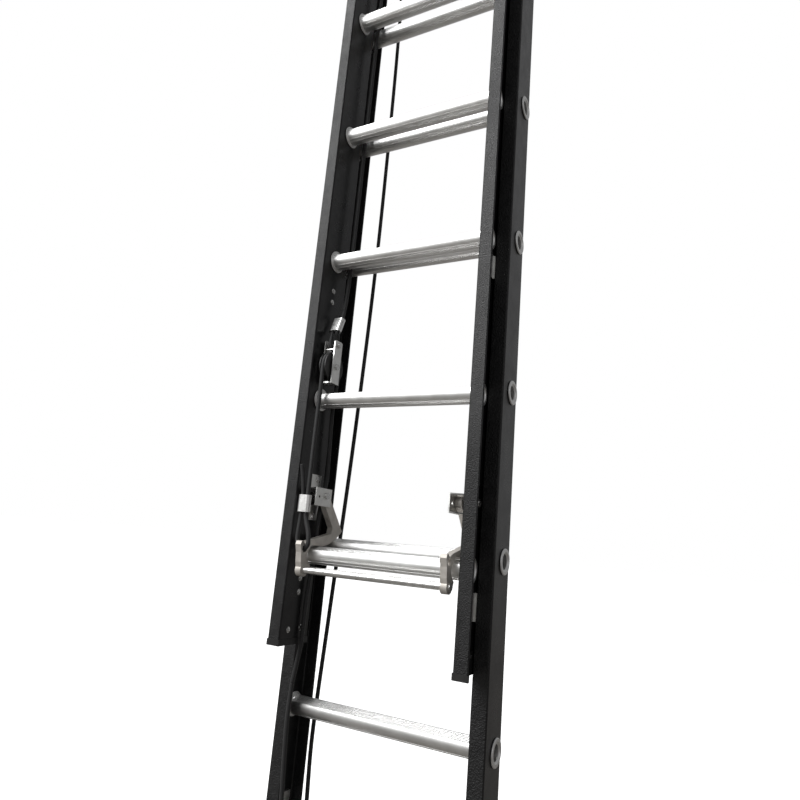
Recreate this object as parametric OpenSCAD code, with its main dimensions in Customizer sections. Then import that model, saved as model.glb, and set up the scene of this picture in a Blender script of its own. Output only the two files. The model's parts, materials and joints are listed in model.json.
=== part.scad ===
// Two-section extension ladder, 16 ft class, closed and locked on the second rung.
// Channel rails carry D-shaped rungs. The fly section slides up in front of the
// base section on a rope and pulleys, and a pair of swinging locks joined by a trip
// bar hooks it over the base rungs. X is across the ladder, the climber's side
// faces -Y and +Z is up. The origin is on the floor under the middle of the ladder.

/* [Sections] */
// Distance between rungs
rung_pitch = 304.8; // [250:0.1:350]
// Number of rungs in each section
rung_count = 8; // [7:1:9]
// Height of the lowest base rung above the floor
first_rung_z = 300; // [290:1:320]
// Length of each rail, both sections
rail_len = 2438; // [2430:1:2450]
// How far the closed fly's rungs sit below the base rungs beside them
fly_drop = 17.7; // [15:0.1:20]

/* [Base rails] */
// Width over the base rails
base_width = 418; // [414:1:430]
// Depth of a base rail, front to back
base_depth = 76; // [74:1:80]
// Width of a base flange
base_flange = 29; // [28:1:30]
// Gap from the fly's front face to the base's front face
base_setback = 66; // [65:0.5:68]

/* [Fly rails] */
// Width over the fly rails
fly_width = 396; // [392:1:400]
// Depth of a fly rail, front to back
fly_depth = 87; // [86:0.5:88]
// Width of a fly flange
fly_flange = 26; // [24:1:27]
// Wall of every rail
wall = 4; // [3:0.5:4.5]

/* [Rungs] */
// Radius of the round side of a rung
rung_r = 18.5; // [17:0.1:19]
// Distance from a rung's middle to its tread
tread_h = 12.2; // [10:0.1:14]
// Tilt of the tread, so that it is level on a leaning ladder
tread_tilt = 14.5; // [10:0.5:16]
// Thickness of the rung tube
rung_wall = 2.2; // [1.8:0.1:3]
// Radius of the swaged collars
collar_r = 23; // [22:0.5:24]

/* [Rope] */
// Diameter of the rope
rope_d = 8.5; // [8:0.1:9]

/* [Hidden] */

$fn = 48;
gap = 0.3;
tiny = 0.05;

// The outlines below are drawn with Y = 0 on the fly's front face. The whole ladder is
// then moved forward by mid_y, which puts its middle over the origin.
haul_y = 162;
horn_y = -9;
mid_y = (horn_y + haul_y + rope_d / 2) / 2;

// Rails
round_r = 3;
base_x = base_width / 2;
base_in = base_x - wall;
base_y0 = base_setback;
base_z0 = 62;
fly_x = fly_width / 2;
fly_web = fly_x - fly_flange;
fly_web_out = fly_web + wall;
fly_z0 = 424;
fly_z1 = fly_z0 + rail_len;

// Rungs
base_rung_y = 112.3;
fly_rung_y = 42.3;
fly_first_z = first_rung_z + rung_pitch - fly_drop;
neck_r = 19;
eye_r = 13.5;
collar_t = 3.6;
rivet_r = 3;
rivet_hole = rivet_r + tiny;

// Places of rivets on a fly web as [y, z]
guide_y = 44;
guide_z_left = 1118;
guide_z_right = 1144;
guide_z_low = 527.3;
guide_half = 12.6;
cap_rivets_yz = [[25, 447], [62, 449]];
bracket_rivets_yz = [[59, 732], [56, 659]];

// Lock
pivot_y = 52;
pivot_z = 699;
pivot_r = 5;
lock_in = 141;
lock_out = 153.2;
bracket_t = 2.5;
strap_in = 138;
strap_out = strap_in + bracket_t;
hook_r = 96.2;
bar_y = 10;
bar_z = 558;
bar_r = 6.7;
bar_end_r = 5;
eye_y = 4.5;
eye_z = 597;
eye_hole_r = 7.4;

// Pulley block on the fly, and the pulley at the top of the base
rope_x = -153;
block_y = 40;
block_axle_z = 959;
block_pin_z = 1005;
block_pin_r = 3.2;
ferrule_y = 45;
ferrule_z = 1051;
ferrule_lean = 21;
strand_x = 5.5;
block_pitch_r = 28;
top_pitch_r = 34;
top_y = base_rung_y;
top_rung_z = first_rung_z + (rung_count - 1) * rung_pitch;
top_axle_z = top_rung_z - 66;
sheave_t = 15;
groove_gap = 0.9;
axle_r = 4;

// Foot
shoe_pivot_y = 104;
shoe_pivot_z = 32;
shoe_bolt_r = 5;
shoe_y0 = 30;
shoe_y1 = 164;
shoe_x0 = 180;
shoe_x1 = 224;

// Rope routes, drawn by hand as [x, y, z]
back_route = [
    [-152, 150, 2250], [-147, 160, 1850], [-146, 162, 1500], [-148, 162, 1200],
    [-158, 159, 800], [-172, 155.5, 460], [-180, 153, 230], [-174, 149, 115],
    [-170, 142, 68], [-168, 128, 38], [-168, 104, 26], [-168, 80, 38],
    [-169, 68, 68], [-171, 62, 160], [-174, 56, 290], [-173, 57, 350]
];
// The release leg keeps outside the left lock all the way up to the block
trip_route = [
    [-173, 57, 351], [-168.5, 59, 390], [-165.4, 60, 415], [-164.8, 60, 440], [-164.8, 60.5, 502],
    [-164.5, 62, 530], [-163, 66, 570], [-163, 68, 650], [-163.5, 73, 690],
    [-162.5, 78, 712], [-160.5, 79, 736], [-160, 75, 800], [-159.5, 71, 885], [-154, 68.5, 930]
];
hoist_route = [
    [-153, 77.5, 2250], [-153, 73, 1500], [-152.5, 70.5, 1200], [-151.5, 65.5, 1120], [-150, 60, 1090]
];
// Down from the block, through the lower ferrule and down to the lock
lock_leg_route = [
    [-153, 12, 905], [-152.5, 11, 850], [-151.5, 9, 780], [-150.5, 8, 720], [-150.5, 8, 664]
];
// Through the eye of the left lock
loop_route = [
    [-150.5, 8, 662.5], [-149.8, 7.8, 657], [-146, 7.3, 645], [-139, 6.2, 628], [-135.6, 5, 614],
    [-135.2, 4.6, 604.2], [-140.5, 4.5, 597.5], [-147, 4.5, 596.6], [-153.5, 4.5, 598],
    [-158.8, 4.6, 604.5], [-161, 5, 613], [-161.5, 6, 630], [-161.5, 7.6, 650], [-161.5, 8, 663]
];
// Up through the lower ferrule again to the cut end
tail_route = [
    [-161.5, 8, 664], [-161.5, 8, 696], [-162.5, 5, 722], [-165.5, -1, 754]
];
// Through the upper ferrule, round the block's pin and up through the ferrule again
eye_route = [
    [-149.6, 59, 1088], [-147.5, 51, 1067], [-147.5, 39, 1035.5], [-149, 45, 1021],
    [-151, 48.4, 1006], [-153, 46, 998.6], [-153, 40, 996.4], [-153, 34, 998.6],
    [-155, 31.6, 1006], [-157, 34.5, 1021], [-158.5, 39, 1035.5], [-158.5, 51, 1067], [-159, 54, 1076]
];

// ---------- helpers ----------

module place() translate([0, -mid_y, 0]) children();

// Draws the right side, or its mirror image on the left
module side(s) {
    if (s > 0) children();
    else mirror([1, 0, 0]) children();
}

// Plate standing across the ladder: an outline in Y and Z with its faces at x0 and x1
module plate(x0, x1) translate([x0, 0, 0]) rotate([90, 0, 90]) linear_extrude(x1 - x0) children();

// Round bar along X from x0 to x1
module rod(x0, x1, y, z, r) translate([x0, y, z]) rotate([0, 90, 0]) cylinder(h = x1 - x0, r = r);

module box(a, b) translate(a) cube(b - a);

// Channel outline: its web's outer face is at x = 0 and its flanges point to +X
module channel(depth, flange) {
    translate([0, round_r]) square([wall, depth - 2 * round_r]);
    translate([round_r, 0]) square([flange - round_r - wall / 2, wall]);
    translate([round_r, depth - wall]) square([flange - round_r - wall / 2, wall]);
    translate([round_r, round_r]) circle(r = round_r);
    translate([round_r, depth - round_r]) circle(r = round_r);
    translate([flange - wall / 2, wall / 2]) circle(r = wall / 2);
    translate([flange - wall / 2, depth - wall / 2]) circle(r = wall / 2);
}

// Rivet through a plate: a domed head at x_head, and a shank that runs to x_tail
module rivet(x_head, x_tail, y, z, r = rivet_r) {
    dir = x_head > x_tail ? 1 : -1;
    rod(min(x_head, x_tail), max(x_head, x_tail), y, z, r);
    translate([x_head, y, z]) rotate([0, 90 * dir, 0]) rivet_head(r);
}

module rivet_head(r) rotate_extrude() intersection() {
    translate([0, -2.2 * r]) circle(r = 3 * r);
    square([1.9 * r, r]);
}

// Rope
function unit(v) = v / norm(v);
function along(p, i) = unit(p[min(i + 1, len(p) - 1)] - p[max(i - 1, 0)]);
function cross_axis(t, ref) = unit(ref - (ref * t) * t);

// Tube of the rope's diameter along the points p. Its sides start from the ref direction.
module rope_tube(p, ref = [1, 0, 0], sides = 12) {
    last = len(p) - 1;
    rings = [
        for (i = [0 : last])
            let (t = along(p, i), u = cross_axis(t, ref), v = cross(t, u))
                for (k = [0 : sides - 1])
                    p[i] + rope_d / 2 * (cos(360 * k / sides) * u + sin(360 * k / sides) * v)
    ];
    skin = [
        for (i = [0 : last - 1])
            for (k = [0 : sides - 1])
                [i * sides + k, (i + 1) * sides + k, (i + 1) * sides + (k + 1) % sides,
                 i * sides + (k + 1) % sides]
    ];
    first_end = [for (k = [0 : sides - 1]) k];
    last_end = [for (k = [sides - 1 : -1 : 0]) last * sides + k];
    polyhedron(points = rings, faces = concat(skin, [first_end, last_end]), convexity = 8);
}

// Points on an arc in the YZ plane, from angle a0 to a1, where 0 points to +Y and 90 up
function arc_yz(x, y, z, r, a0, a1, n) =
    [for (i = [0 : n]) let (a = a0 + (a1 - a0) * i / n) [x, y + r * cos(a), z + r * sin(a)]];

// ---------- rails and rungs ----------

module web_holes(x0, x1, y, z_first) {
    for (i = [0 : rung_count - 1]) {
        rod(x0, x1, y, z_first + i * rung_pitch, neck_r + tiny);
    }
}

module base_rail(s) color([0.07, 0.07, 0.075]) place() side(s) difference() {
    translate([base_x, base_y0, base_z0]) mirror([1, 0, 0])
        linear_extrude(rail_len) channel(base_depth, base_flange);
    web_holes(base_in - 1, base_x + 1, base_rung_y, first_rung_z);
    for (p = foot_rivets_yz) {
        rod(base_in - 1, base_x + 1, p[0], p[1], rivet_hole);
    }
}

module fly_rail(s) color([0.07, 0.07, 0.075]) place() side(s) difference() {
    translate([fly_web, 0, fly_z0]) linear_extrude(rail_len) channel(fly_depth, fly_flange);
    web_holes(fly_web - 1, fly_web_out + 1, fly_rung_y, fly_first_z);
    for (p = concat(fly_rivets_yz(s), top_cap_rivets_yz)) {
        rod(fly_web - 1, fly_web_out + 1, p[0], p[1], rivet_hole);
    }
    rod(fly_web - 1, fly_web_out + 1, pivot_y, pivot_z, pivot_r + tiny);
}

foot_rivets_yz = [[92, 88], [116, 88], [104, 128]];
top_cap_rivets_yz = [for (p = cap_rivets_yz) [p[0], fly_z0 + fly_z1 - p[1]]];
function guide_z(s, upper) = upper ? (s > 0 ? guide_z_right : guide_z_left) : guide_z_low;
function guide_rivets_yz(s) = [
    for (z = [guide_z(s, true), guide_z(s, false)])
        for (d = [-guide_half, guide_half])
            [guide_y, z + d]
];
function fly_rivets_yz(s) = concat(cap_rivets_yz, bracket_rivets_yz, guide_rivets_yz(s));

module rung_outline(r, flat) intersection() {
    circle(r = r);
    translate([-30, -30]) square([60, 30 + flat]);
}

// D-shaped section, with the tread up and flutes in the tread and along the belly
module rung_section() {
    tread_flutes = 5;
    flute_step = 4.4;
    difference() {
        rung_outline(rung_r, tread_h);
        rung_outline(rung_r - rung_wall, tread_h - rung_wall);
        for (i = [0 : tread_flutes - 1]) {
            translate([(i - (tread_flutes - 1) / 2) * flute_step - 0.6, tread_h - 0.7]) square([1.2, 2]);
        }
        for (a = [211.5, 232.5, 307.5, 328.5]) {
            rotate(a) translate([rung_r, 0]) circle(r = 1);
        }
    }
}

// Collar and neck at one end of a rung. x = 0 is the web's inner face.
module rung_end() {
    bead_r = collar_t / 2;
    lip_x = wall + 0.1;
    rotate([0, 90, 0]) rotate_extrude() difference() {
        union() {
            translate([eye_r, -collar_t]) square([neck_r - eye_r, wall + 2 * collar_t]);
            translate([eye_r, -collar_t - tiny]) square([collar_r - bead_r - eye_r, collar_t]);
            translate([collar_r - bead_r, -bead_r - tiny]) circle(r = bead_r);
            translate([eye_r, lip_x]) square([collar_r - bead_r - eye_r, collar_t]);
            translate([collar_r - bead_r, lip_x + bead_r]) circle(r = bead_r);
        }
        translate([eye_r - 0.6, lip_x + collar_t + 1.4]) circle(r = 4.2);
    }
}

module rung(half_len, y, z) color([0.86, 0.86, 0.85]) place() translate([0, y, z]) {
    rotate([90, 0, 90]) rotate([0, 0, tread_tilt])
        translate([0, 0, -half_len + collar_t]) linear_extrude(2 * (half_len - collar_t)) rung_section();
    for (s = [-1, 1]) {
        side(s) translate([half_len, 0, 0]) rung_end();
    }
}

module base_rung(i) rung(base_in, base_rung_y, first_rung_z + (i - 1) * rung_pitch);
module fly_rung(i) rung(fly_web, fly_rung_y, fly_first_z + (i - 1) * rung_pitch);

// ---------- feet ----------

module foot_bracket(s) color("silver") place() side(s) plate(base_in - 5, base_in) difference() {
    union() {
        translate([shoe_pivot_y, shoe_pivot_z]) circle(r = 14);
        translate([80, 64]) square([48, 82]);
        polygon([[90, 34], [118, 34], [128, 66], [80, 66]]);
    }
    translate([shoe_pivot_y, shoe_pivot_z]) circle(r = shoe_bolt_r + tiny);
    for (p = foot_rivets_yz) {
        translate(p) circle(r = rivet_hole);
    }
}

module foot_rivets() color("silver") place() for (s = [-1, 1]) {
    for (p = foot_rivets_yz) {
        side(s) rivet(base_x, base_in - 6.5, p[0], p[1]);
    }
}

// Shoe: a sole plate with two ears that straddle the foot bracket
module shoe(s) color("silver") place() side(s) {
    sole_z = 10;
    sole_t = 4;
    ear_t = 4;
    for (x = [base_in - 5 - 1 - ear_t, base_x + 1]) {
        plate(x, x + ear_t) difference() {
            union() {
                translate([shoe_pivot_y, shoe_pivot_z]) circle(r = 13);
                polygon([[84, sole_z + 1], [124, sole_z + 1], [116, 38], [92, 38]]);
            }
            translate([shoe_pivot_y, shoe_pivot_z]) circle(r = shoe_bolt_r + tiny);
        }
    }
    difference() {
        box([shoe_x0, shoe_y0, sole_z], [shoe_x1, shoe_y1, sole_z + sole_t]);
        for (y = [shoe_y0 + 10, shoe_y1 - 10]) {
            translate([(shoe_x0 + shoe_x1) / 2, y, 0]) cylinder(h = 30, r = 2.6);
        }
    }
    for (i = [0 : 4]) {
        box([shoe_x0 + 2 + i * 9, shoe_y0 - 5, sole_z], [shoe_x0 + 6 + i * 9, shoe_y0 + 0.5, sole_z + sole_t]);
    }
}

module shoe_pad(s) color([0.1, 0.1, 0.1]) place() side(s) difference() {
    union() {
        box([shoe_x0 + 1, shoe_y0 + 2, 0], [shoe_x1 - 1, shoe_y1 - 1, 10]);
        for (y = [shoe_y0 + 10, shoe_y1 - 10]) {
            translate([(shoe_x0 + shoe_x1) / 2, y, 9]) cylinder(h = 6.5, r = 2.5);
            translate([(shoe_x0 + shoe_x1) / 2, y, 14]) cylinder(h = 2, r = 4.5);
        }
    }
    for (i = [0 : 8]) {
        box([shoe_x0 - 1, shoe_y0 + 12 + i * 13, -1], [shoe_x1 + 1, shoe_y0 + 16 + i * 13, 2.5]);
    }
}

module shoe_bolt(s) color("silver") place() side(s) {
    rod(base_in - 17, base_x + 6, shoe_pivot_y, shoe_pivot_z, shoe_bolt_r);
    translate([base_x + 5, shoe_pivot_y, shoe_pivot_z]) rotate([0, 90, 0]) cylinder(h = 5, r = 9, $fn = 6);
    rod(base_in - 16, base_in - 10, shoe_pivot_y, shoe_pivot_z, 8.5);
}

// ---------- pulleys ----------

// Sheave with a round groove for the rope, on an axis along X through [x, y, z]
module sheave(x, y, z, pitch_r) color([0.12, 0.12, 0.12]) place()
    translate([x, y, z]) rotate([0, 90, 0]) rotate_extrude() difference() {
        translate([axle_r + tiny, -sheave_t / 2]) square([pitch_r + 3.5 - axle_r - tiny, sheave_t]);
        translate([pitch_r, 0]) circle(r = rope_d / 2 + groove_gap);
        translate([pitch_r, -rope_d / 2 - groove_gap]) square([10, rope_d + 2 * groove_gap]);
        for (s = [-1, 1]) {
            translate([11, s * (sheave_t / 2 + 1) - 1.5]) square([pitch_r - 20, 3]);
        }
    }

// Bracket that hangs the top pulley from the highest base rung
module top_pulley_bracket() color("silver") place() {
    ring_r = rung_r + gap;
    difference() {
        rod(rope_x - 13, rope_x + 13, base_rung_y, top_rung_z, ring_r + 3);
        rod(rope_x - 14, rope_x + 14, base_rung_y, top_rung_z, ring_r);
    }
    for (x = [rope_x - 13, rope_x + 10]) {
        plate(x, x + 3) difference() {
            union() {
                translate([top_y, top_rung_z]) circle(r = ring_r + 3);
                translate([top_y, top_axle_z]) circle(r = 14);
                polygon([
                    [top_y - 14, top_axle_z], [top_y + 14, top_axle_z],
                    [top_y + 20, top_rung_z - 8], [top_y - 20, top_rung_z - 8]
                ]);
            }
            translate([top_y, top_rung_z]) circle(r = ring_r);
            translate([top_y, top_axle_z]) circle(r = axle_r + tiny);
        }
    }
}

// Axle with a head at each end
module axle(x0, x1, y, z, head_r, r = axle_r) {
    rod(x0 - 2, x1 + 2, y, z, r);
    rod(x0 - 4, x0 - tiny, y, z, head_r);
    rod(x1 + tiny, x1 + 4, y, z, head_r);
}

module top_pulley_axle() color("gainsboro") place() axle(rope_x - 13, rope_x + 13, top_y, top_axle_z, 6.5);

// Block: two cheeks joined by a cross plate above the sheave and a strap below it
module block_strap() color("silver") place() {
    cheek_t = 2.5;
    half = 13;
    z0 = 924;
    z1 = 1014;
    for (x = [rope_x - half, rope_x + half - cheek_t]) {
        plate(x, x + cheek_t) difference() {
            union() {
                translate([block_y - 13, z0]) square([26, z1 - z0 - 4]);
                translate([block_y - 9, z1 - 5]) square([18, 5]);
                translate([block_y - 9, z1 - 4]) circle(r = 4);
                translate([block_y + 9, z1 - 4]) circle(r = 4);
            }
            translate([block_y, block_axle_z]) circle(r = axle_r + tiny);
            translate([block_y, block_pin_z]) circle(r = block_pin_r + tiny);
        }
    }
    box([rope_x - half, block_y - 13, z0 - 0.5], [rope_x + half, block_y + 13, z0 + cheek_t]);
    difference() {
        box([rope_x - half + 1, block_y - 13, 993], [rope_x + half - 1, block_y - 3, 995.5]);
        rod(rope_x - 8, rope_x + 8, block_y, block_pin_z, 13);
    }
}

module block_axle() color("gainsboro") place() axle(rope_x - 13, rope_x + 13, block_y, block_axle_z, 6);
module block_pin() color("gainsboro") place()
    axle(rope_x - 13, rope_x + 13, block_y, block_pin_z, 5.5, block_pin_r);

// ---------- fly fittings ----------

// L-shaped guide: riveted to the outside of the fly's web, its leg in front of the base's flange
module guide(s, upper) color("silver") place() side(s) translate([0, 0, guide_z(s, upper)]) difference() {
    union() {
        box([fly_web_out, 32, -23], [fly_web_out + 3, base_y0 - 1.2, 23]);
        box([fly_web_out, base_y0 - 4.2, -23], [fly_web_out + 6, base_y0 - 1.2, 23]);
    }
    for (d = [-guide_half, guide_half]) {
        rod(fly_web_out - 1, fly_web_out + 4, guide_y, d, rivet_hole);
    }
}

// Cap over a rail end: a rim round the channel, an end plate and a corner gusset
module cap_body() {
    rim = 0.8;
    difference() {
        union() {
            translate([fly_web - rim, -rim, 0]) cube([fly_flange + 2 * rim, wall + 2 * rim, 11]);
            translate([fly_web - rim, -rim, 0]) cube([wall + 2 * rim, fly_depth + 2 * rim, 11]);
            translate([fly_web - rim, fly_depth - wall - rim, 0]) cube([fly_flange + 2 * rim, wall + 2 * rim, 11]);
            translate([fly_web + 1, 1, 0]) linear_extrude(4) polygon([[0, 0], [22, 0], [0, 26]]);
        }
        translate([fly_web - tiny, -tiny, 4]) cube([fly_flange + 2 * tiny, wall + 2 * tiny, 20]);
        translate([fly_web - tiny, -tiny, 4]) cube([wall + 2 * tiny, fly_depth + 2 * tiny, 20]);
        translate([fly_web - tiny, fly_depth - wall - tiny, 4]) cube([fly_flange + 2 * tiny, wall + 2 * tiny, 20]);
        for (y = [round_r, fly_depth - round_r]) {
            translate([fly_web + round_r, y, 4]) cylinder(h = 20, r = round_r + tiny);
        }
    }
    // Tabs that carry the cap's rivets, on the outside of the web
    for (p = cap_rivets_yz) {
        difference() {
            box([fly_web_out + tiny, p[0] - 7, 4], [fly_web_out + 2, p[0] + 7, p[1] - fly_z0 + 12]);
            rod(fly_web_out - 1, fly_web_out + 3, p[0], p[1] - fly_z0 + 4, rivet_hole);
        }
    }
}

module bottom_cap(s) color([0.09, 0.09, 0.09]) place() side(s) translate([0, 0, fly_z0 - 4]) cap_body();
module top_cap(s) color([0.09, 0.09, 0.09]) place() side(s)
    translate([0, 0, fly_z1 + 4]) mirror([0, 0, 1]) cap_body();

// Every rivet in the fly's webs, at the caps, the guides and the lock brackets
module fly_rivets() color("gainsboro") place() for (s = [-1, 1]) {
    for (p = concat(cap_rivets_yz, top_cap_rivets_yz)) {
        side(s) rivet(fly_web, fly_web_out + 3, p[0], p[1]);
    }
    for (p = guide_rivets_yz(s)) {
        side(s) rivet(fly_web, fly_web_out + 4.5, p[0], p[1]);
    }
    for (p = bracket_rivets_yz) {
        side(s) rivet(fly_web - bracket_t, fly_web_out + 1.5, p[0], p[1]);
    }
}

// ---------- lock ----------

// Joggled strap: tabs on the web above and below, and a raised middle that holds the pivot's
// head clear of the web, with the lock behind it
module lock_bracket(s) color("silver") place() side(s) difference() {
    union() {
        box([fly_web - bracket_t, 37, 710.5], [fly_web, 73, 740.5]);
        box([fly_web - bracket_t, 45, 651], [fly_web, 72, 681]);
        box([strap_in, 18, 678.5], [strap_out, 69.5, 713]);
        joggle(37, 710.5);
        joggle(45, 678.5);
    }
    for (p = bracket_rivets_yz) {
        rod(fly_web - bracket_t - 1, fly_web + 1, p[0], p[1], rivet_hole);
    }
    rod(strap_in - 1, strap_out + 1, pivot_y, pivot_z, pivot_r + tiny);
    rod(strap_in - 1, strap_out + 1, 29, pivot_z - 3, 2.5);
}

// Level wall between the raised middle and a tab whose front edge is at y_web
module joggle(y_web, z) translate([0, 0, z]) linear_extrude(bracket_t) polygon([
    [strap_in, 18], [fly_web, y_web], [fly_web, 60], [lock_out + 6, 60], [lock_out + 6, 43], [strap_in, 43]
]);

// Arm, hook, beam and horn of a lock casting in Y and Z
module lock_outline() polygon([
    [42, 690], [64, 704], [89, 675], [121, 638], [128, 630], [126, 622],
    [88, 603.2], [27, 603.2], [22, 600], [18, 594], [14, 588],
    [14, 580], [20, 571], [27, 566], [22, 553], [15, 549], [5, 549], [1, 556],
    [-3, 572], [-5, 590], [-9, 604], [-7, 610], [-2, 611], [4, 606], [18, 612],
    [87, 628], [89, 640], [57, 679]
]);

// Space under the hook. It ends on an arc about the pivot, so that the hook swings clear
// of the base rung that it rests on.
module lock_mouth() difference() {
    translate([pivot_y, 590]) square([90, 60]);
    translate([pivot_y, pivot_z]) circle(r = hook_r);
}

module lock(s) color([0.72, 0.70, 0.64]) place() side(s) difference() {
    union() {
        plate(lock_in, lock_out) lock_outline();
        rod(lock_in, lock_out, pivot_y, pivot_z, 13);
        rod(lock_in, lock_out, bar_y, bar_z, 12);
    }
    plate(lock_in - 1, lock_out + 1) lock_mouth();
    rod(lock_in - 1, lock_out + 1, pivot_y, pivot_z, pivot_r + tiny);
    rod(lock_in - 1, lock_out + 1, eye_y, eye_z, eye_hole_r);
    rod(lock_in - 1, lock_out + 1, bar_y, bar_z, bar_end_r + tiny);
    // Pockets cast into the outer face
    plate(lock_out - 5, lock_out + 1) polygon([[60, 682], [68, 692], [86, 671], [112, 641], [101, 634], [92, 645]]);
    plate(lock_out - 5, lock_out + 1) polygon([[28, 609.5], [78, 621], [78, 611.5], [60, 608.5], [32, 607]]);
}

// Shouldered bolts through the brackets, the locks and the webs, with nuts outside
module lock_pivots() color("gainsboro") place() for (s = [-1, 1]) side(s) {
    rod(strap_in - 4, strap_in - tiny, pivot_y, pivot_z, 6.5);
    rod(strap_in - 1, fly_web_out + 7, pivot_y, pivot_z, pivot_r - tiny);
    rod(lock_out + gap, fly_web - tiny, pivot_y, pivot_z, 7);
    translate([fly_web_out + tiny, pivot_y, pivot_z]) rotate([0, 90, 0]) cylinder(h = 5, r = 8, $fn = 6);
}

module trip_bar() color([0.86, 0.86, 0.85]) place() {
    rod(-lock_in, lock_in, bar_y, bar_z, bar_r);
    rod(-lock_out - 2, lock_out + 2, bar_y, bar_z, bar_end_r);
    for (s = [-1, 1]) {
        side(s) rod(lock_out + tiny, lock_out + 3, bar_y, bar_z, 7);
    }
}

// ---------- rope ----------

// Crimped sleeve, flattened so that it holds two strands side by side
module ferrule(w, t, h, strand) difference() {
    union() {
        translate([-w / 2 + t / 2, 0, -h / 2]) cylinder(h = h, r = t / 2);
        translate([w / 2 - t / 2, 0, -h / 2]) cylinder(h = h, r = t / 2);
        translate([-w / 2 + t / 2, -t / 2, -h / 2]) cube([w - t, t, h]);
    }
    for (s = [-1, 1]) {
        translate([s * strand, 0, -h]) cylinder(h = 2 * h, r = rope_d / 2 + 0.6);
    }
}

module rope_ferrule_upper() color("silver") place()
    translate([rope_x, ferrule_y, ferrule_z]) rotate([-ferrule_lean, 0, 0]) ferrule(27, 14, 33, strand_x);

module rope_ferrule_lower() color("silver") place()
    translate([-156, 8, 680]) ferrule(27, 14, 32, strand_x);

// From the front of the top pulley, over it, down the back, round the bight and up
module rope_main() color([0.1, 0.1, 0.1]) place()
    rope_tube(concat(arc_yz(rope_x, top_y, top_axle_z, top_pitch_r, 180, 0, 8), back_route));

module rope_hoist() color([0.1, 0.1, 0.1]) place()
    rope_tube(concat([[rope_x, top_y - top_pitch_r, top_axle_z - 1]], hoist_route));

module rope_eye() color([0.1, 0.1, 0.1]) place() rope_tube(eye_route);

module rope_trip() color([0.1, 0.1, 0.1]) place()
    rope_tube(concat(trip_route, [[rope_x, block_y + block_pitch_r, block_axle_z - 1]]));

module rope_lock_leg() color([0.1, 0.1, 0.1]) place() {
    rope_tube(concat(arc_yz(rope_x, block_y, block_axle_z, block_pitch_r, 0, 180, 8), lock_leg_route));
    rope_tube(tail_route);
}

module rope_lock_loop() color([0.1, 0.1, 0.1]) place() rope_tube(loop_route, [0, 1, 0]);

// ---------- the ladder ----------

base_rail(-1);  // base_rail_left
base_rail(1);  // base_rail_right
base_rung(1);  // base_rung_1
base_rung(2);  // base_rung_2
base_rung(3);  // base_rung_3
base_rung(4);  // base_rung_4
base_rung(5);  // base_rung_5
base_rung(6);  // base_rung_6
base_rung(7);  // base_rung_7
base_rung(8);  // base_rung_8
foot_bracket(-1);  // foot_bracket_left
foot_bracket(1);  // foot_bracket_right
foot_rivets();
shoe(-1);  // shoe_left
shoe(1);  // shoe_right
shoe_pad(-1);  // shoe_pad_left
shoe_pad(1);  // shoe_pad_right
shoe_bolt(-1);  // shoe_bolt_left
shoe_bolt(1);  // shoe_bolt_right
top_pulley_bracket();
top_pulley_axle();
sheave(rope_x, top_y, top_axle_z, top_pitch_r);  // top_pulley_sheave
fly_rail(-1);  // fly_rail_left
fly_rail(1);  // fly_rail_right
fly_rung(1);  // fly_rung_1
fly_rung(2);  // fly_rung_2
fly_rung(3);  // fly_rung_3
fly_rung(4);  // fly_rung_4
fly_rung(5);  // fly_rung_5
fly_rung(6);  // fly_rung_6
fly_rung(7);  // fly_rung_7
fly_rung(8);  // fly_rung_8
bottom_cap(-1);  // bottom_cap_left
bottom_cap(1);  // bottom_cap_right
top_cap(-1);  // top_cap_left
top_cap(1);  // top_cap_right
guide(-1, true);  // guide_upper_left
guide(1, true);  // guide_upper_right
guide(-1, false);  // guide_lower_left
guide(1, false);  // guide_lower_right
lock_bracket(-1);  // lock_bracket_left
lock_bracket(1);  // lock_bracket_right
fly_rivets();
lock(-1);  // lock_left
lock(1);  // lock_right
lock_pivots();
trip_bar();
block_strap();
block_axle();
block_pin();
sheave(rope_x, block_y, block_axle_z, block_pitch_r);  // block_sheave
rope_ferrule_upper();
rope_ferrule_lower();
rope_main();
rope_hoist();
rope_eye();
rope_trip();
rope_lock_leg();
rope_lock_loop();
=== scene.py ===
"""Extension ladder: materials, rope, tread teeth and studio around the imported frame."""
import json
import math

import bpy
import numpy as np
from mathutils import Matrix, Vector


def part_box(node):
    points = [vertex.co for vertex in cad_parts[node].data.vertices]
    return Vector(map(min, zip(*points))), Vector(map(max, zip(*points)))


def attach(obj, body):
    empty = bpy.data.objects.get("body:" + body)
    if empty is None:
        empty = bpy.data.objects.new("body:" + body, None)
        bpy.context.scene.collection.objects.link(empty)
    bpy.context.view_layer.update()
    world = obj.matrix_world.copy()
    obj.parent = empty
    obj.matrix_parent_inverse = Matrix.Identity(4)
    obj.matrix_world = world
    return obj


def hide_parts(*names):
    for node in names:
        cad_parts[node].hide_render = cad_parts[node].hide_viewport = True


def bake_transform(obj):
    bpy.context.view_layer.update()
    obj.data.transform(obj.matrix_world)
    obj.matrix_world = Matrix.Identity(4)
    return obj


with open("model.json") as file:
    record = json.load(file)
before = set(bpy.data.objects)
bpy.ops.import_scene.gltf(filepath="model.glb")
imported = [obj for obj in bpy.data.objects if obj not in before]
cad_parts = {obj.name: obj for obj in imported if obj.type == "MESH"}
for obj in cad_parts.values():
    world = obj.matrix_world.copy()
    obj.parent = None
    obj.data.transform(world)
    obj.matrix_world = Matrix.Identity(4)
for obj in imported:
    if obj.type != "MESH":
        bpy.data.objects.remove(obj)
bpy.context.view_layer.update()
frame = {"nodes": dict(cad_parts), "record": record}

MM = 0.001
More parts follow.
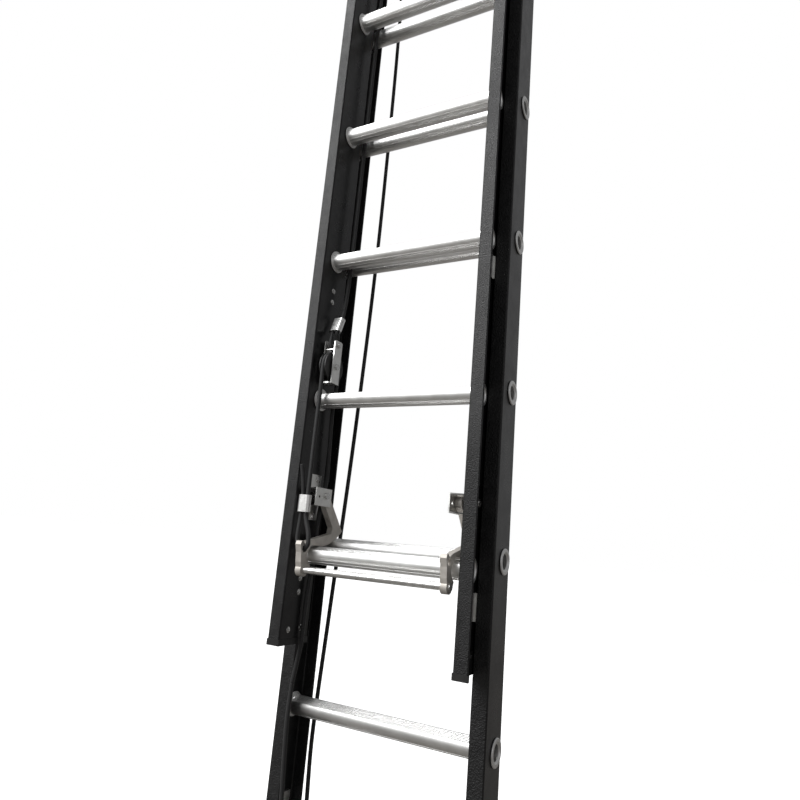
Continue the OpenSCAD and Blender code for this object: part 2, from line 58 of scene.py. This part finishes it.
# The CAD source's outlines have Y = 0 on the fly's front face. This shift moves them to the
# row frame.
FRONT_TO_MIDDLE = 78.625
nodes = frame["nodes"]

# ---------------------------------------------------------------- camera

CAMERA_PLACE = Vector((0.5790, -1.0557, 0.6199))
CAMERA_YAW = math.radians(29.04)
CAMERA_PITCH = math.radians(12.85)
CAMERA_ROLL = math.radians(4.97)
CAMERA_LENS = 28.30


def add_camera():
    data = bpy.data.cameras.new("camera")
    data.sensor_width = 36.0
    data.lens = CAMERA_LENS
    data.clip_start = 0.01
    camera = bpy.data.objects.new("camera", data)
    bpy.context.scene.collection.objects.link(camera)
    right = Vector((math.cos(CAMERA_YAW), math.sin(CAMERA_YAW), 0))
    ahead = Vector((-math.sin(CAMERA_YAW), math.cos(CAMERA_YAW), 0))
    up = Vector((0, 0, 1))
    look = ahead * math.cos(CAMERA_PITCH) + up * math.sin(CAMERA_PITCH)
    up = up * math.cos(CAMERA_PITCH) - ahead * math.sin(CAMERA_PITCH)
    rolled_right = right * math.cos(CAMERA_ROLL) + up * math.sin(CAMERA_ROLL)
    rolled_up = up * math.cos(CAMERA_ROLL) - right * math.sin(CAMERA_ROLL)
    turn = Matrix((rolled_right, rolled_up, -look)).transposed().to_4x4()
    camera.matrix_world = Matrix.Translation(CAMERA_PLACE) @ turn
    bpy.context.scene.camera = camera


add_camera()

# ---------------------------------------------------------------- materials

TREAD_TILT = math.radians(14.5)
# The box, the bore and the collar share below bound the painted shade inside a rung's bore
# Size of the box round a rung's collars, in Y and Z
RUNG_BOX = 46.0
# A rung's bore in millimetres: its radius, and the height of the flat under the tread
BORE_RADIUS = 16.9
BORE_FLAT = 11.0
# Half of a rung's length short of the collars, as a share of the whole
COLLARS_FROM = 0.468


def set_range(node, low, high, out_low, out_high):
    """Makes a Map Range node take low..high to out_low..out_high."""
    sockets = ("From Min", "From Max", "To Min", "To Max")
    for socket, number in zip(sockets, (low, high, out_low, out_high)):
        node.inputs[socket].default_value = number


def set_stops(node, stops):
    """Gives a Color Ramp node its stops."""
    elements = node.color_ramp.elements
    while len(elements) < len(stops):
        elements.new(0.5)
    for element, (position, rgb) in zip(elements, stops):
        element.position = position
        element.color = (*rgb, 1)


class Shader:
    """A material with a Principled shader and short calls for the nodes in front of it."""

    def __init__(self, name, **constants):
        self.material = bpy.data.materials.new(name)
        self.material.use_nodes = True
        self.tree = self.material.node_tree
        self.main = next(n for n in self.tree.nodes if n.type == "BSDF_PRINCIPLED")
        for socket, value in constants.items():
            self.main.inputs[socket.replace("_", " ")].default_value = value
        self.place = self.node("ShaderNodeTexCoord").outputs["Object"]

    def node(self, kind, **settings):
        made = self.tree.nodes.new(kind)
        for key, value in settings.items():
            setattr(made, key, value)
        return made

    def link(self, source, target):
        self.tree.links.new(source, target)

    def stretch(self, scale, place=None):
        """Coordinates scaled by three factors, so that a pattern draws out along one axis."""
        mapping = self.node("ShaderNodeMapping")
        mapping.inputs["Scale"].default_value = scale
        self.link(place or self.place, mapping.inputs["Vector"])
        return mapping.outputs["Vector"]

    def noise(self, scale, detail=4.0, roughness=0.55, place=None):
        noise = self.node("ShaderNodeTexNoise")
        noise.inputs["Scale"].default_value = scale
        noise.inputs["Detail"].default_value = detail
        noise.inputs["Roughness"].default_value = roughness
        self.link(place or self.place, noise.inputs["Vector"])
        return noise.outputs["Fac"]

    def cells(self, scale, place=None):
        cells = self.node("ShaderNodeTexVoronoi")
        cells.inputs["Scale"].default_value = scale
        self.link(place or self.place, cells.inputs["Vector"])
        return cells.outputs["Distance"]

    def between(self, value, low, high, out_low, out_high):
        """Maps value from the range low to high onto out_low to out_high."""
        ranged = self.node("ShaderNodeMapRange")
        set_range(ranged, low, high, out_low, out_high)
        self.link(value, ranged.inputs["Value"])
        return ranged.outputs["Result"]

    def maths(self, operation, a, b):
        node = self.node("ShaderNodeMath", operation=operation)
        for socket, value in zip(node.inputs, (a, b)):
            if isinstance(value, (int, float)):
                socket.default_value = value
            else:
                self.link(value, socket)
        return node.outputs["Value"]

    def colour(self, value, stops):
        ramp = self.node("ShaderNodeValToRGB")
        set_stops(ramp, stops)
        self.link(value, ramp.inputs["Fac"])
        self.link(ramp.outputs["Color"], self.main.inputs["Base Color"])

    def roughness(self, value):
        self.link(value, self.main.inputs["Roughness"])

    def bump(self, height, distance, strength=1.0, before=None):
        bump = self.node("ShaderNodeBump")
        bump.inputs["Distance"].default_value = distance
        bump.inputs["Strength"].default_value = strength
        self.link(height, bump.inputs["Height"])
        if before is not None:
            self.link(before, bump.inputs["Normal"])
        self.link(bump.outputs["Normal"], self.main.inputs["Normal"])
        return bump.outputs["Normal"]


def fibreglass():
    """Black pultruded fibreglass: smooth webs with faint draw lines, and pebbled flange faces."""
    s = Shader("fibreglass_black", IOR=1.42, Coat_Weight=0.1, Coat_Roughness=0.2)
    normal = s.node("ShaderNodeSeparateXYZ")
    s.link(s.node("ShaderNodeTexCoord").outputs["Normal"], normal.inputs["Vector"])
    facing = s.maths("ABSOLUTE", normal.outputs["Y"], 0.0)
    flange = s.between(facing, 0.6, 0.95, 0.0, 1.0)
    mottle = s.noise(60.0, 5.0)
    s.colour(mottle, [(0.35, (0.007, 0.007, 0.0075)), (0.7, (0.016, 0.016, 0.0165))])
    gloss = s.between(s.noise(25.0, 3.0), 0.3, 0.7, 0.26, 0.36)
    s.roughness(s.maths("ADD", gloss, s.maths("MULTIPLY", flange, 0.14)))
    draw_lines = s.noise(1.0, 2.0, place=s.stretch((700.0, 700.0, 2.0)))
    pebble = s.noise(420.0, 2.0, 0.5)
    lines = s.bump(draw_lines, 0.00008, 0.35)
    depth = s.maths("ADD", s.maths("MULTIPLY", flange, 0.85), 0.15)
    s.bump(s.maths("MULTIPLY", pebble, depth), 0.002, 0.9, lines)
    return s.material


def extruded_aluminium(name, rough_low, shade_bore):
    """Bright drawn aluminium: lines along X and faint blotches. A bored part gets painted shade on
    the inner faces of its bore.
    """
    s = Shader(name, Metallic=1.0)
    lines = s.noise(1.0, 3.0, 0.6, place=s.stretch((8.0, 1500.0, 1500.0)))
    blotch = s.noise(35.0, 4.0)
    tone = s.between(blotch, 0.3, 0.7, 0.80, 0.90)
    if shade_bore:
        # Painted shade: the inner faces of the rung's bore are darkened to 12 percent of the tone
        tone = s.maths("MULTIPLY", tone, s.between(bore_shade_mask(s), 0.0, 1.0, 1.0, 0.12))
    s.colour(tone, [(0.0, (0.0, 0.0, 0.0)), (1.0, (1.0, 1.0, 0.99))])
    rough = s.between(lines, 0.3, 0.7, rough_low, rough_low + 0.12)
    s.roughness(s.maths("ADD", rough, s.between(blotch, 0.4, 0.75, 0.0, 0.08)))
    fine = s.bump(lines, 0.00006, 0.5)
    s.bump(s.noise(900.0, 2.0), 0.00004, 0.3, fine)
    return s.material


def bore_shade_mask(s):
    """1 on the inner faces of a rung's tube, short of its collars, and 0 elsewhere: the mask of the
    painted shade in the bore.
    """
    box = s.node("ShaderNodeSeparateXYZ")
    s.link(s.node("ShaderNodeTexCoord").outputs["Generated"], box.inputs["Vector"])
    y, z = (
        s.maths("MULTIPLY", s.maths("SUBTRACT", box.outputs[axis], 0.5), RUNG_BOX)
        for axis in "YZ"
    )
    y_part = s.maths("MULTIPLY", y, -math.sin(TREAD_TILT))
    z_part = s.maths("MULTIPLY", z, math.cos(TREAD_TILT))
    level = s.maths("ADD", y_part, z_part)
    squares = s.maths("ADD", s.maths("MULTIPLY", y, y), s.maths("MULTIPLY", z, z))
    radius = s.maths("SQRT", squares, 0.0)
    in_bore = s.maths("LESS_THAN", radius, BORE_RADIUS)
    within = s.maths("MULTIPLY", in_bore, s.maths("LESS_THAN", level, BORE_FLAT))
    off_centre = s.maths("ABSOLUTE", s.maths("SUBTRACT", box.outputs["X"], 0.5), 0.0)
    return s.maths("MULTIPLY", within, s.maths("LESS_THAN", off_centre, COLLARS_FROM))


def sheet_metal():
    """Pressed plate: rolled grain along Z with light scratches."""
    s = Shader("plate_pressed", Metallic=1.0)
    grain = s.noise(1.0, 3.0, place=s.stretch((1300.0, 1300.0, 60.0)))
    blotch = s.noise(90.0, 5.0)
    s.colour(blotch, [(0.3, (0.74, 0.74, 0.72)), (0.7, (0.88, 0.88, 0.86))])
    s.roughness(s.between(blotch, 0.3, 0.7, 0.28, 0.42))
    s.bump(grain, 0.00006, 0.5)
    return s.material


def plated_steel():
    """Bright zinc on rivets, pins and bolts, a little cloudy."""
    s = Shader("steel_plated", Metallic=1.0)
    cloud = s.noise(220.0, 4.0)
    s.colour(cloud, [(0.3, (0.58, 0.58, 0.57)), (0.7, (0.78, 0.78, 0.77))])
    s.roughness(s.between(cloud, 0.3, 0.7, 0.18, 0.34))
    s.bump(s.noise(700.0, 3.0), 0.00008, 0.4)
    return s.material


def crimped_aluminium():
    """Soft bright aluminium sleeves, with press marks across them."""
    s = Shader("aluminium_crimped", Metallic=1.0)
    marks = s.noise(1.0, 2.0, place=s.stretch((90.0, 90.0, 520.0)))
    s.colour(marks, [(0.3, (0.82, 0.82, 0.81)), (0.7, (0.92, 0.92, 0.91))])
    s.roughness(s.between(marks, 0.3, 0.7, 0.3, 0.45))
    s.bump(marks, 0.0003, 0.5)
    return s.material


def cast_metal():
    """Dull die casting with a fine sandy skin and darker low spots."""
    s = Shader("metal_cast", Metallic=0.5)
    patches = s.noise(45.0, 6.0)
    tones = [(0.25, (0.44, 0.415, 0.38)), (0.55, (0.58, 0.55, 0.51)), (0.8, (0.68, 0.655, 0.61))]
    s.colour(patches, tones)
    s.roughness(s.between(patches, 0.3, 0.7, 0.45, 0.62))
    skin = s.bump(s.noise(1100.0, 3.0), 0.0002, 0.5)
    s.bump(s.noise(130.0, 3.0), 0.0004, 0.35, skin)
    return s.material


def moulded_plastic():
    """Black moulded plastic with a fine sparked grain."""
    s = Shader("plastic_moulded", IOR=1.46)
    grain = s.cells(1600.0)
    s.colour(s.noise(70.0, 4.0), [(0.3, (0.012, 0.012, 0.012)), (0.7, (0.022, 0.022, 0.022))])
    s.roughness(s.between(s.noise(40.0), 0.3, 0.7, 0.34, 0.5))
    s.bump(grain, 0.00012, 0.5)
    return s.material


def tread_rubber():
    """Black rubber with a dusty, scuffed skin."""
    s = Shader("rubber_tread", IOR=1.5)
    dust = s.noise(55.0, 7.0, 0.65)
    s.colour(dust, [(0.35, (0.014, 0.014, 0.014)), (0.75, (0.045, 0.043, 0.040))])
    s.roughness(s.between(dust, 0.3, 0.7, 0.62, 0.85))
    s.bump(s.noise(800.0, 4.0), 0.0003, 0.6)
    return s.material


def rope_fibre():
    """Black braided polypropylene. The braid is in the mesh, and this adds the single threads."""
    s = Shader("rope_fibre", Sheen_Weight=0.1, Sheen_Roughness=0.5)
    threads = s.noise(1.0, 3.0, place=s.stretch((2600.0, 2600.0, 500.0)))
    s.colour(threads, [(0.3, (0.006, 0.006, 0.0065)), (0.75, (0.022, 0.022, 0.023))])
    s.roughness(s.between(threads, 0.3, 0.7, 0.5, 0.7))
    s.bump(threads, 0.0003, 0.7)
    return s.material


def rope_core():
    """The paler cut end of the rope."""
    s = Shader("rope_cut_end")
    strands = s.cells(900.0)
    s.colour(strands, [(0.0, (0.62, 0.62, 0.60)), (0.6, (0.30, 0.30, 0.29))])
    s.roughness(s.between(strands, 0.0, 0.6, 0.6, 0.8))
    s.bump(strands, 0.0006, 0.7)
    return s.material


MATERIALS = {
    "fibreglass": fibreglass(),
    "rung_aluminium": extruded_aluminium("aluminium_rung", 0.36, True),
    "bar_aluminium": extruded_aluminium("aluminium_bar", 0.2, False),
    "plate_metal": sheet_metal(),
    "fastener_steel": plated_steel(),
    "ferrule_aluminium": crimped_aluminium(),
    "cast_metal": cast_metal(),
    "black_plastic": moulded_plastic(),
    "pad_rubber": tread_rubber(),
    "rope_fibre": rope_fibre(),
}

EDGE_RADIUS = {
    "plate_metal": 0.5 * MM,
    "fastener_steel": 0.3 * MM,
    "ferrule_aluminium": 1.0 * MM,
    "bar_aluminium": 0.3 * MM,
    "cast_metal": 1.2 * MM,
    "black_plastic": 0.5 * MM,
    "pad_rubber": 0.7 * MM,
}


def soften(obj, radius):
    """Rounds the sharp edges, and keeps the flat faces flat."""
    bevel = obj.modifiers.new("edges", "BEVEL")
    bevel.width = radius
    bevel.segments = 2
    bevel.limit_method = "ANGLE"
    bevel.angle_limit = math.radians(40)
    bevel.harden_normals = True
    for polygon in obj.data.polygons:
        polygon.use_smooth = True


def dress_nodes():
    for part in frame["record"]["subparts"]:
        obj = nodes[part["node"]]
        slot = part["material_slot"]
        obj.data.materials.clear()
        obj.data.materials.append(MATERIALS[slot])
        if slot in EDGE_RADIUS:
            soften(obj, EDGE_RADIUS[slot])


dress_nodes()

# ---------------------------------------------------------------- mesh helpers


def make_mesh(name, points, faces, material, smooth=True):
    mesh = bpy.data.meshes.new(name)
    mesh.from_pydata([tuple(p) for p in points], [], faces)
    mesh.materials.append(material)
    mesh.polygons.foreach_set("use_smooth", [smooth] * len(mesh.polygons))
    mesh.update()
    obj = bpy.data.objects.new(name, mesh)
    bpy.context.scene.collection.objects.link(obj)
    return obj


def row(points):
    """Points in the CAD source's millimetres, as metres in the row frame."""
    return (np.array(points, float) - np.array((0.0, FRONT_TO_MIDDLE, 0.0))) * MM


# ---------------------------------------------------------------- rope

ROPE_D = 8.5
ROPE_X = -153.0
HOIST_TOP_Z = 2367.6
TOP_PITCH_R = 34.0
TOP_Y = 112.3
BLOCK_Z = 959.0
BLOCK_Y = 40.0
BLOCK_PITCH_R = 28.0
# Braid: cells round the rope and the length of one cell
BRAID_CELLS = 8
BRAID_PITCH = 5.2
BRAID_RELIEF = 0.42
BRAID_SIDES = 32
# Length between two rings of the braid's mesh, and points to a span of the curve before that
RING_STEP = 1.3
SPAN_POINTS = 40
# Spans in the half turn round a sheave
HALF_TURN_STEPS = 12

# The routes repeat the CAD source's points
BACK_ROUTE = [
    (-152, 150, 2250), (-147, 160, 1850), (-146, 162, 1500), (-148, 162, 1200),
    (-158, 159, 800), (-172, 155.5, 460), (-180, 153, 230), (-174, 149, 115),
    (-170, 142, 68), (-168, 128, 38), (-168, 104, 26), (-168, 80, 38),
    (-169, 68, 68), (-171, 62, 160), (-174, 56, 290), (-173, 57, 350),
]
TRIP_ROUTE = [
    (-173, 57, 351), (-168.5, 59, 390), (-165.4, 60, 415), (-164.8, 60, 440),
    (-164.8, 60.5, 502), (-164.5, 62, 530), (-163, 66, 570), (-163, 68, 650),
    (-163.5, 73, 690), (-162.5, 78, 712), (-160.5, 79, 736), (-160, 75, 800),
    (-159.5, 71, 885), (-154, 68.5, 930),
]
HOIST_ROUTE = [
    (-153, 77.5, 2250), (-153, 73, 1500), (-152.5, 70.5, 1200), (-151.5, 65.5, 1120),
    (-150, 60, 1090),
]
LOCK_LEG_ROUTE = [
    (-153, 12, 905), (-152.5, 11, 850), (-151.5, 9, 780), (-150.5, 8, 720), (-150.5, 8, 664),
]
LOOP_ROUTE = [
    (-150.5, 8, 662.5), (-149.8, 7.8, 657), (-146, 7.3, 645), (-139, 6.2, 628), (-135.6, 5, 614),
    (-135.2, 4.6, 604.2), (-140.5, 4.5, 597.5), (-147, 4.5, 596.6), (-153.5, 4.5, 598),
    (-158.8, 4.6, 604.5), (-161, 5, 613), (-161.5, 6, 630), (-161.5, 7.6, 650), (-161.5, 8, 663),
]
TAIL_ROUTE = [(-161.5, 8, 664), (-161.5, 8, 696), (-162.5, 5, 722), (-165.5, -1, 754)]
EYE_ROUTE = [
    (-149.6, 59, 1088), (-147.5, 51, 1067), (-147.5, 39, 1035.5), (-149, 45, 1021),
    (-151, 48.4, 1006), (-153, 46, 998.6), (-153, 40, 996.4), (-153, 34, 998.6),
    (-155, 31.6, 1006), (-157, 34.5, 1021), (-158.5, 39, 1035.5), (-158.5, 51, 1067),
    (-159, 54, 1076),
]


def arc(y, z, radius, start, end):
    """Points on a half turn round a sheave. Angle 0 points to +Y and 90 degrees up."""
    angles = np.radians(np.linspace(start, end, HALF_TURN_STEPS + 1))
    return [(ROPE_X, y + radius * math.cos(a), z + radius * math.sin(a)) for a in angles]


def smooth_path(points, step):
    """An even path along a Catmull-Rom curve through the points."""
    p = np.array(points, float)
    p = np.vstack((2 * p[0] - p[1], p, 2 * p[-1] - p[-2]))
    knots = np.concatenate(([0], np.cumsum(np.linalg.norm(np.diff(p, axis=0), axis=1) ** 0.5)))
    dense = []
    for i in range(1, len(p) - 2):
        t0, t1, t2, t3 = knots[i - 1:i + 3]
        t = np.linspace(t1, t2, SPAN_POINTS, endpoint=False)[:, None]
        a1 = (t1 - t) / (t1 - t0) * p[i - 1] + (t - t0) / (t1 - t0) * p[i]
        a2 = (t2 - t) / (t2 - t1) * p[i] + (t - t1) / (t2 - t1) * p[i + 1]
        a3 = (t3 - t) / (t3 - t2) * p[i + 1] + (t - t2) / (t3 - t2) * p[i + 2]
        b1 = (t2 - t) / (t2 - t0) * a1 + (t - t0) / (t2 - t0) * a2
        b2 = (t3 - t) / (t3 - t1) * a2 + (t - t1) / (t3 - t1) * a3
        dense.append((t2 - t) / (t2 - t1) * b1 + (t - t1) / (t2 - t1) * b2)
    dense = np.vstack(dense + [p[-2:-1]])
    run = np.concatenate(([0], np.cumsum(np.linalg.norm(np.diff(dense, axis=0), axis=1))))
    even = np.linspace(0, run[-1], max(4, int(run[-1] / step) + 1))
    return np.stack([np.interp(even, run, dense[:, k]) for k in range(3)], axis=1), even


def braid(name, points, reference=(1.0, 0.0, 0.0), cut_end=False):
    """A braided rope: two families of strands that pass over and under each other."""
    path, run = smooth_path(points, RING_STEP)
    along = np.gradient(path, axis=0)
    along /= np.linalg.norm(along, axis=1)[:, None]
    side = np.array(reference) - (along @ np.array(reference))[:, None] * along
    side /= np.linalg.norm(side, axis=1)[:, None]
    other = np.cross(along, side)
    angle = np.arange(BRAID_SIDES) * 2 * math.pi / BRAID_SIDES
    around = BRAID_CELLS * angle[None, :] / (2 * math.pi)
    forward = run[:, None] / BRAID_PITCH
    u, v = around + forward, around - forward
    over = (np.floor(u) + np.floor(v)) % 2 == 0
    crown = np.where(over, np.abs(np.sin(math.pi * u)), np.abs(np.sin(math.pi * v)))
    radius = ROPE_D / 2 - BRAID_RELIEF * (1 - crown ** 0.7)
    outward = (
        np.cos(angle)[None, :, None] * side[:, None, :]
        + np.sin(angle)[None, :, None] * other[:, None, :]
    )
    skin = path[:, None, :] + radius[:, :, None] * outward
    rings, sides = len(path), BRAID_SIDES
    faces = []
    for start in range(0, (rings - 1) * sides, sides):
        for k in range(sides):
            nxt = (k + 1) % sides
            faces.append((start + k, start + nxt, start + sides + nxt, start + sides + k))
    faces.append(tuple(range(sides - 1, -1, -1)))
    faces.append(tuple((rings - 1) * sides + k for k in range(sides)))
    obj = make_mesh(name, row(skin.reshape(-1, 3)), faces, MATERIALS["rope_fibre"])
    if cut_end:
        obj.data.materials.append(CUT_END)
        obj.data.polygons[len(faces) - 1].material_index = 1
    return obj


CUT_END = rope_core()


def add_ropes():
    over_top = arc(TOP_Y, HOIST_TOP_Z, TOP_PITCH_R, 180, 0)
    main = braid("rope_main_braid", over_top + BACK_ROUTE)
    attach(main, "base")
    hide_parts("rope_main")
    hoist_start = (ROPE_X, TOP_Y - TOP_PITCH_R, HOIST_TOP_Z)
    hoist = braid("rope_hoist_braid", [hoist_start] + HOIST_ROUTE)
    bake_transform(hoist)
    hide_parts("rope_hoist")
    trip_end = (ROPE_X, BLOCK_Y + BLOCK_PITCH_R, BLOCK_Z)
    trip = braid("rope_trip_braid", TRIP_ROUTE + [trip_end])
    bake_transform(trip)
    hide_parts("rope_trip")
    over_block = arc(BLOCK_Y, BLOCK_Z, BLOCK_PITCH_R, 0, 180)
    leg = braid("rope_lock_leg_braid", over_block + LOCK_LEG_ROUTE)
    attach(leg, "fly")
    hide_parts("rope_lock_leg")
    tail = braid("rope_lock_tail_braid", TAIL_ROUTE, cut_end=True)
    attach(tail, "fly")
    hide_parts("rope_lock_leg")
    eye = braid("rope_eye_braid", EYE_ROUTE, cut_end=True)
    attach(eye, "fly")
    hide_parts("rope_eye")
    loop = braid("rope_lock_loop_braid", LOOP_ROUTE, reference=(0.0, 1.0, 0.0))
    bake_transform(loop)
    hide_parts("rope_lock_loop")


add_ropes()

# ---------------------------------------------------------------- tread teeth

TREAD_HEIGHT = 12.2
TOOTH_PITCH = 3.0
TOOTH_WIDTH = 1.9
TOOTH_HEIGHT = 0.3
# How far the top of a tooth draws in along X and, as a share of its half width, across
TOOTH_DRAFT = 0.4
TOOTH_TOP = 0.7
# Half the length of the toothed stretch on each section's rungs
TREAD_HALF = {"base": 199.0, "fly": 166.0}
FLUTE_STEP = 4.4
RIB_WIDTH = 2.6
RIB_COUNT = 6


def tread_teeth(name, half_length, centre_y, centre_z, body):
    """Rows of small teeth on the ribs of one rung's tread."""
    x = np.arange(-half_length, half_length, TOOTH_PITCH)
    ribs = (np.arange(RIB_COUNT) - (RIB_COUNT - 1) / 2) * FLUTE_STEP
    near, far, top = TOOTH_DRAFT, TOOTH_WIDTH - TOOTH_DRAFT, TOOTH_TOP
    corner = np.array([
        (0, -1, 0), (TOOTH_WIDTH, -1, 0), (TOOTH_WIDTH, 1, 0), (0, 1, 0),
        (near, -top, 1), (far, -top, 1), (far, top, 1), (near, top, 1),
    ], float)
    corner[:, 1] *= RIB_WIDTH / 2
    tip, foot = TREAD_HEIGHT + TOOTH_HEIGHT, TREAD_HEIGHT - 0.05
    corner[:, 2] = np.where(corner[:, 2] > 0, tip, foot)
    place = np.array([(a, b, 0) for a in x for b in ribs])
    flat = (place[:, None, :] + corner[None, :, :]).reshape(-1, 3)
    cos, sin = math.cos(TREAD_TILT), math.sin(TREAD_TILT)
    y = flat[:, 1] * cos - flat[:, 2] * sin
    z = flat[:, 1] * sin + flat[:, 2] * cos
    points = row(np.stack((flat[:, 0], y + centre_y, z + centre_z), axis=1))
    box_faces = [
        (4, 5, 6, 7), (0, 1, 5, 4), (1, 2, 6, 5), (2, 3, 7, 6), (3, 0, 4, 7), (3, 2, 1, 0),
    ]
    faces = [tuple(8 * i + k for k in f) for i in range(len(place)) for f in box_faces]
    obj = make_mesh(name, points, faces, MATERIALS["bar_aluminium"], smooth=False)
    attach(obj, body)


def add_treads():
    for body, half_length in TREAD_HALF.items():
        for i in range(1, 9):
            low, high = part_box(f"{body}_rung_{i}")
            y = (low.y + high.y) / 2 / MM + FRONT_TO_MIDDLE
            z = (low.z + high.z) / 2 / MM
            tread_teeth(f"{body}_tread_{i}", half_length, y, z, body)


add_treads()

# ---------------------------------------------------------------- studio

# Surroundings from straight down (0) past the horizon (0.5) to straight up (1), a little warm below
SKY = [
    (0.0, (0.19, 0.18, 0.165)), (0.42, (0.25, 0.24, 0.23)), (0.52, (0.40, 0.40, 0.40)),
    (0.75, (0.40, 0.40, 0.405)), (1.0, (0.36, 0.36, 0.365)),
]
# How much darker they are on the ladder's right than on its left
SKY_RIGHT = 0.62


def add_floor():
    half = 60.0
    corners = [(-half, -half, 0), (half, -half, 0), (half, half, 0), (-half, half, 0)]
    material = bpy.data.materials.new("floor_pale")
    floor = make_mesh("floor", corners, [(0, 1, 2, 3)], material)
    material.use_nodes = True
    shader = next(n for n in material.node_tree.nodes if n.type == "BSDF_PRINCIPLED")
    shader.inputs["Base Color"].default_value = (0.93, 0.93, 0.93, 1)
    shader.inputs["Roughness"].default_value = 0.9
    shader.inputs["Emission Color"].default_value = (1, 1, 1, 1)
    shader.inputs["Emission Strength"].default_value = 0.45
    # Only the camera sees it, so that the bellies of the rungs stay dark
    floor.visible_diffuse = False
    floor.visible_glossy = False


def add_light(name, place, target, size, power):
    data = bpy.data.lights.new(name, "AREA")
    data.shape = "RECTANGLE"
    data.size, data.size_y = size
    data.energy = power
    light = bpy.data.objects.new(name, data)
    bpy.context.scene.collection.objects.link(light)
    light.location = place
    light.rotation_euler = (Vector(target) - Vector(place)).to_track_quat("-Z", "Y").to_euler()


def add_sun():
    data = bpy.data.lights.new("sun", "SUN")
    data.energy = 1.9
    data.angle = math.radians(30)
    sun = bpy.data.objects.new("sun", data)
    bpy.context.scene.collection.objects.link(sun)
    sun.rotation_euler = Vector((0.35, 0.45, -1.0)).to_track_quat("-Z", "Y").to_euler()


def add_world():
    """White to the camera. To the object it is brightest round the horizon and darker below."""
    world = bpy.data.worlds.new("studio")
    bpy.context.scene.world = world
    world.use_nodes = True
    tree = world.node_tree
    background = next(n for n in tree.nodes if n.type == "BACKGROUND")
    direction = tree.nodes.new("ShaderNodeTexCoord")
    split = tree.nodes.new("ShaderNodeSeparateXYZ")
    tree.links.new(direction.outputs["Generated"], split.inputs["Vector"])
    height = tree.nodes.new("ShaderNodeMapRange")
    height.inputs["From Min"].default_value = -1.0
    tree.links.new(split.outputs["Z"], height.inputs["Value"])
    ramp = tree.nodes.new("ShaderNodeValToRGB")
    set_stops(ramp, SKY)
    tree.links.new(height.outputs["Result"], ramp.inputs["Fac"])
    across = tree.nodes.new("ShaderNodeMapRange")
    set_range(across, -0.1, 0.6, 1.0, SKY_RIGHT)
    tree.links.new(split.outputs["X"], across.inputs["Value"])
    shade = tree.nodes.new("ShaderNodeVectorMath")
    shade.operation = "SCALE"
    tree.links.new(ramp.outputs["Color"], shade.inputs[0])
    tree.links.new(across.outputs["Result"], shade.inputs["Scale"])
    path = tree.nodes.new("ShaderNodeLightPath")
    mix = tree.nodes.new("ShaderNodeMix")
    mix.data_type = "RGBA"
    # A colour mix has its factor in socket 0 and its two colours in 6 and 7
    mix.inputs[7].default_value = (1.0, 1.0, 1.0, 1)
    tree.links.new(shade.outputs["Vector"], mix.inputs[6])
    tree.links.new(path.outputs["Is Camera Ray"], mix.inputs[0])
    tree.links.new(mix.outputs[2], background.inputs["Color"])


add_floor()
add_world()
add_sun()
add_light("key", (-1.6, -3.0, 2.6), (0, 0, 0.9), (2.2, 2.2), 86.0)
add_light("fill", (3.0, -2.2, 1.6), (0, 0, 0.8), (1.6, 2.4), 6.0)
bpy.context.scene.view_settings.view_transform = "Standard"
